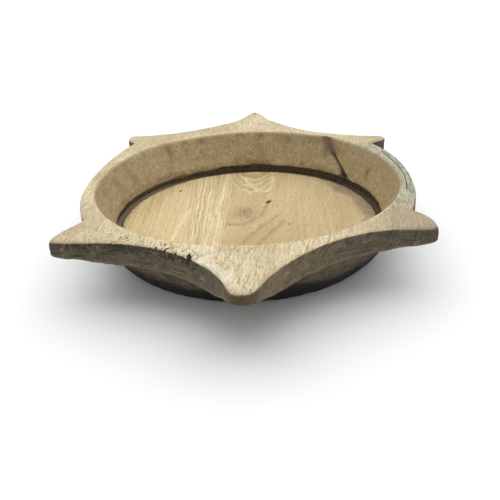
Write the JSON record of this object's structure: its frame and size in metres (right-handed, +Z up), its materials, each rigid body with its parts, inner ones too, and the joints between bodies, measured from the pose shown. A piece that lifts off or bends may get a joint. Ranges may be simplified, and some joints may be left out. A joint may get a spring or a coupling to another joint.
{
  "type": "bowl",
  "caption": "Shallow round wooden bowl carved from one block, its flat rim drawn out into end points and corner lugs, with a gutter round the floor.",
  "frame": {"origin": "on the surface that the bowl rests on, under the middle of the whole outline seen from above", "axes": "+Z up, +Y along the grain towards the back point, +X to the right seen from the front point"},
  "size_m": [0.3368, 0.483, 0.07],
  "materials": {
    "carved_wood": "bare, dry, hand-carved and worn",
    "gutter_residue": "matt, crusted",
    "crack_matter": "matt, crumbly",
    "knot_wood": "dense, dark"
  },
  "bodies": {
    "root": {"bowl_body": "carved_wood", "groove_residue": "gutter_residue", "crack_filling": "crack_matter", "pin_knot": "knot_wood"}
  },
  "joints": []
}
